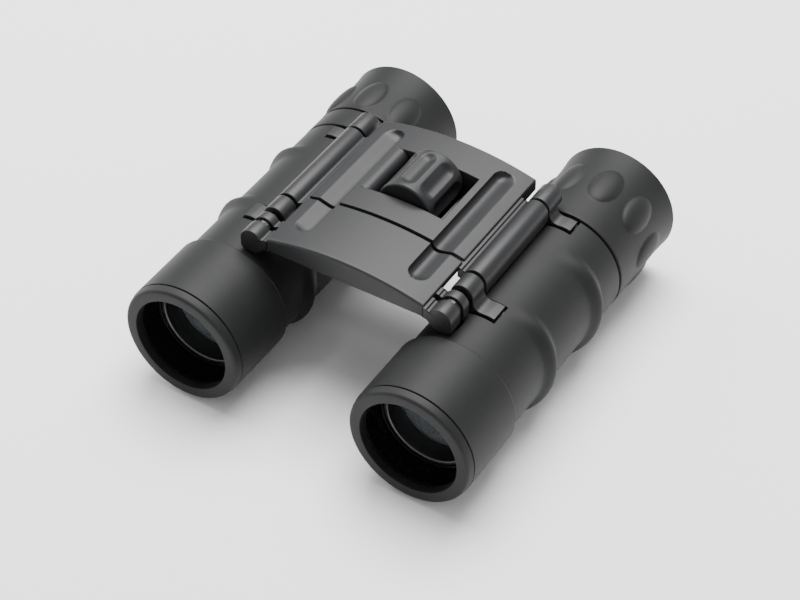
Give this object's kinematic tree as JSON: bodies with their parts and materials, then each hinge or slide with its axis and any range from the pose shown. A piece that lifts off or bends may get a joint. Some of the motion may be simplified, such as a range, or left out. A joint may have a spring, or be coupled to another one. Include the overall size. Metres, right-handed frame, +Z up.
{
  "type": "compact binoculars",
  "caption": "Compact roof-prism binoculars with a double-hinged arched bridge, lobed central focus wheel, ribbed rubber barrels and eyecups with oval pads.",
  "frame": {"origin": "on the resting surface, midway between the barrels and halfway between the objective rims and the eyecup rims", "axes": "+X towards the user's left barrel, +Y from the objectives to the eyepieces, +Z up through the bridge"},
  "size_m": [0.1048, 0.1102, 0.0488],
  "materials": {
    "armour_rubber": "soft satin moulded rubber, charcoal",
    "eyecup_rubber": "soft satin moulded rubber, charcoal",
    "bridge_plastic": "fine-grained satin plastic, charcoal",
    "wheel_rubber": "satin moulded rubber, charcoal",
    "bezel_plastic": "satin moulded plastic, charcoal",
    "housing_plastic": "satin moulded plastic, black",
    "ring_plastic": "satin moulded plastic, charcoal",
    "optical_glass": "polished, coated",
    "inner_black": "matt black",
    "black_alloy": "black anodised",
    "brass": "machined",
    "steel": "ground"
  },
  "bodies": {
    "bridge": {"rear_plate": "bridge_plastic", "bottom_cover": "bridge_plastic", "cover_screw_1": "steel", "cover_screw_2": "steel", "cover_screw_3": "steel", "cover_screw_4": "steel", "left_guide_rod": "steel", "right_guide_rod": "steel", "left_hinge_pin": "steel", "right_hinge_pin": "steel"},
    "front_bridge": {"front_plate": "bridge_plastic", "focus_nut": "brass"},
    "focus_drive": {"focus_wheel": "wheel_rubber", "focus_spindle": "steel"},
    "left_barrel": {"left_barrel_housing": "housing_plastic", "left_armour": "armour_rubber", "left_objective_bezel": "bezel_plastic", "left_prism_cage": "black_alloy", "left_half_penta_prism": "optical_glass", "left_roof_prism": "optical_glass", "left_prism_clip": "steel", "left_eyecup": "eyecup_rubber", "left_ocular_cell": "inner_black", "left_field_lens": "optical_glass", "left_field_stop": "inner_black", "left_eye_lens": "optical_glass"},
    "right_barrel": {"right_barrel_housing": "housing_plastic", "right_armour": "armour_rubber", "right_objective_bezel": "bezel_plastic", "right_prism_cage": "black_alloy", "right_half_penta_prism": "optical_glass", "right_roof_prism": "optical_glass", "right_prism_clip": "steel", "right_eyecup": "eyecup_rubber"},
    "left_objective": {"left_objective_cell": "inner_black", "left_objective_crown_lens": "optical_glass", "left_objective_flint_lens": "optical_glass", "left_objective_retainer": "black_alloy", "left_focus_arm": "steel"},
    "right_objective": {"right_objective_cell": "inner_black", "right_objective_crown_lens": "optical_glass", "right_objective_flint_lens": "optical_glass", "right_objective_retainer": "black_alloy", "right_focus_arm": "steel"},
    "diopter": {"diopter_ring": "ring_plastic", "diopter_drive_pin": "steel"},
    "right_ocular": {"right_ocular_cell": "inner_black", "right_field_lens": "optical_glass", "right_field_stop": "inner_black", "right_eye_lens": "optical_glass"}
  },
  "joints": [
    {"name": "left_hinge", "type": "hinge", "parent": "bridge", "child": "left_barrel", "pos_m": [0.0282, 0, 0.03857], "axis": [0, 1, 0], "range_deg": [-6, 39]},
    {"name": "right_hinge", "type": "hinge", "parent": "bridge", "child": "right_barrel", "pos_m": [-0.0282, 0, 0.03857], "axis": [0, -1, 0], "range_deg": [-6, 39]},
    {"name": "focus_turn", "type": "hinge", "parent": "bridge", "child": "focus_drive", "pos_m": [0, 0.00695, 0.04077], "axis": [0, 1, 0], "range_deg": [-90, 270]},
    {"name": "front_slide", "type": "slide", "parent": "bridge", "child": "front_bridge", "axis": [0, -1, 0], "range_m": [-0.0005, 0.0015]},
    {"name": "left_objective_slide", "type": "slide", "parent": "left_barrel", "child": "left_objective", "axis": [0, -1, 0], "range_m": [-0.0005, 0.0015]},
    {"name": "right_objective_slide", "type": "slide", "parent": "right_barrel", "child": "right_objective", "axis": [0, -1, 0], "range_m": [-0.0005, 0.0015]},
    {"name": "diopter_turn", "type": "hinge", "parent": "right_barrel", "child": "diopter", "pos_m": [-0.0342, 0.02945, 0.01837], "axis": [0, 1, 0], "range_deg": [-50, 50]},
    {"name": "diopter_slide", "type": "slide", "parent": "right_barrel", "child": "right_ocular", "axis": [0, 1, 0], "range_m": [-0.001, 0.001]}
  ],
  "couplings": [
    {"joint": "left_objective_slide", "follows": "front_slide", "ratio": 1},
    {"joint": "right_objective_slide", "follows": "front_slide", "ratio": 1},
    {"joint": "focus_turn", "follows": "front_slide", "rad_per_m": 3141.6},
    {"joint": "diopter_turn", "follows": "diopter_slide", "rad_per_m": 872.66}
  ]
}
